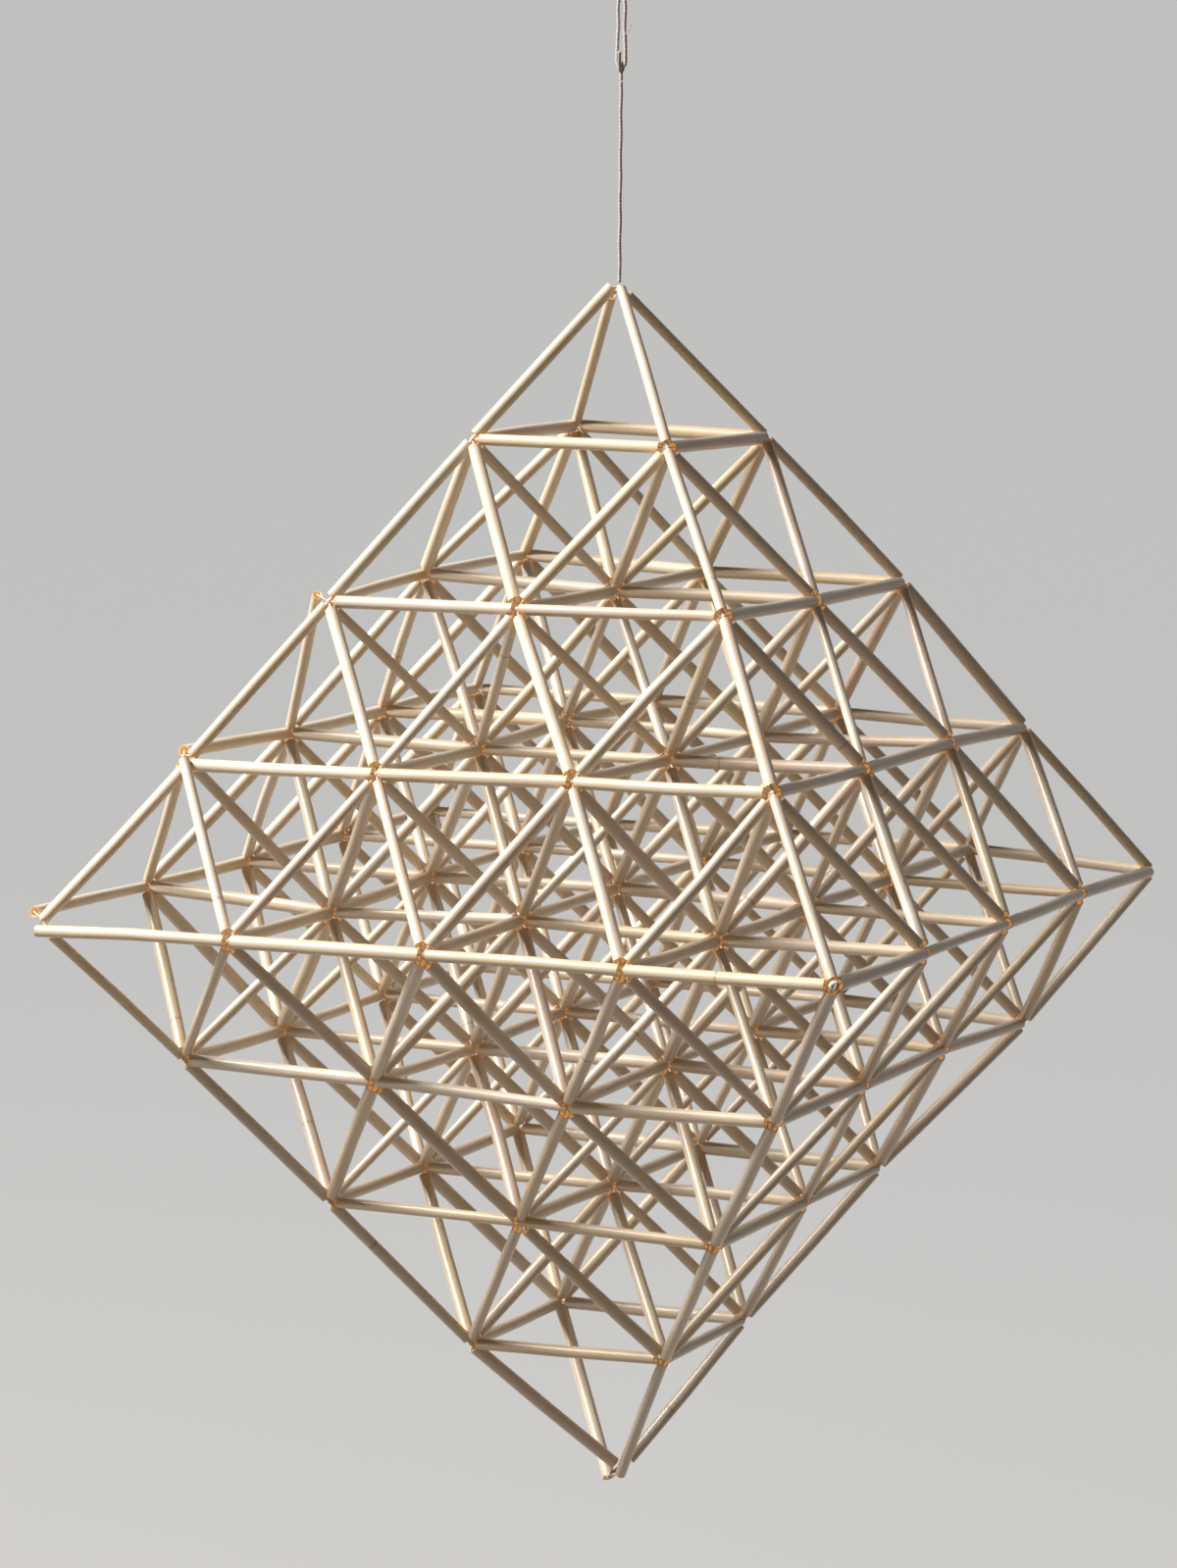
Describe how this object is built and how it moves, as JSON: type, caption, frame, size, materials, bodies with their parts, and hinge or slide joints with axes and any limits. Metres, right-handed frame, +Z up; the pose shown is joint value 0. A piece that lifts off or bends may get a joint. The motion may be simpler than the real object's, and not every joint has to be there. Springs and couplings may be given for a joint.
{
  "type": "himmeli ornament",
  "caption": "Straw himmeli: an octahedron of threaded hollow straws filled with smaller octahedra, hung from its top joint on a thread with a hanging ring.",
  "frame": {"origin": "inside top of the hanging ring, where the hook bears", "axes": "+Z up along the hanging thread; +X and +Y along the straws of each level"},
  "size_m": [0.2844, 0.2844, 0.5126],
  "materials": {
    "straw": "satin",
    "inner_thread": "matte",
    "hanging_thread": "matte"
  },
  "bodies": {
    "hanger": {"hanging_ring": "hanging_thread", "loop_knot": "hanging_thread", "doubled_thread": "hanging_thread"},
    "eye": {"thread_eye": "hanging_thread"},
    "thread": {"hanging_thread": "hanging_thread"},
    "swivel_knot": {"top_knot": "inner_thread"},
    "octahedron": {"level_1_rim": "straw", "level_2_rim": "straw", "level_3_rim": "straw", "level_4_rim": "straw", "level_5_rim": "straw", "level_6_rim": "straw", "level_7_rim": "straw", "level_2_cross": "straw", "level_3_cross": "straw", "level_4_cross": "straw", "level_5_cross": "straw", "level_6_cross": "straw", "storey_1_ridges": "straw", "storey_2_ridges": "straw", "storey_3_ridges": "straw", "storey_4_ridges": "straw", "storey_5_ridges": "straw", "storey_6_ridges": "straw", "storey_7_ridges": "straw", "storey_8_ridges": "straw", "storey_2_faces": "straw", "storey_3_faces": "straw", "storey_4_faces": "straw", "storey_5_faces": "straw", "storey_6_faces": "straw", "storey_7_faces": "straw", "storey_2_core": "straw", "storey_3_core": "straw", "storey_4_core": "straw", "storey_5_core": "straw", "storey_6_core": "straw", "storey_7_core": "straw", "level_1_thread": "inner_thread", "level_2_thread": "inner_thread", "level_3_thread": "inner_thread", "level_4_thread": "inner_thread", "level_5_thread": "inner_thread", "level_6_thread": "inner_thread", "level_7_thread": "inner_thread", "storey_1_thread": "inner_thread", "storey_2_thread": "inner_thread", "storey_3_thread": "inner_thread", "storey_4_thread": "inner_thread", "storey_5_thread": "inner_thread", "storey_6_thread": "inner_thread", "storey_7_thread": "inner_thread", "storey_8_thread": "inner_thread", "bottom_knot": "inner_thread"}
  },
  "joints": [
    {"name": "fore_aft_swing", "type": "hinge", "parent": "hanger", "child": "eye", "pos_m": [0, 0, -0.038], "axis": [1, 0, 0], "range_deg": [-25, 25]},
    {"name": "side_swing", "type": "hinge", "parent": "eye", "child": "thread", "pos_m": [0, 0, -0.042], "axis": [0, 1, 0], "range_deg": [-25, 25]},
    {"name": "spin", "type": "hinge", "parent": "thread", "child": "swivel_knot", "pos_m": [0, 0, -0.11], "axis": [0, 0, 1], "continuous": true},
    {"name": "nod", "type": "hinge", "parent": "swivel_knot", "child": "octahedron", "pos_m": [0, 0, -0.11], "axis": [1, 0, 0], "range_deg": [-15, 15]}
  ]
}
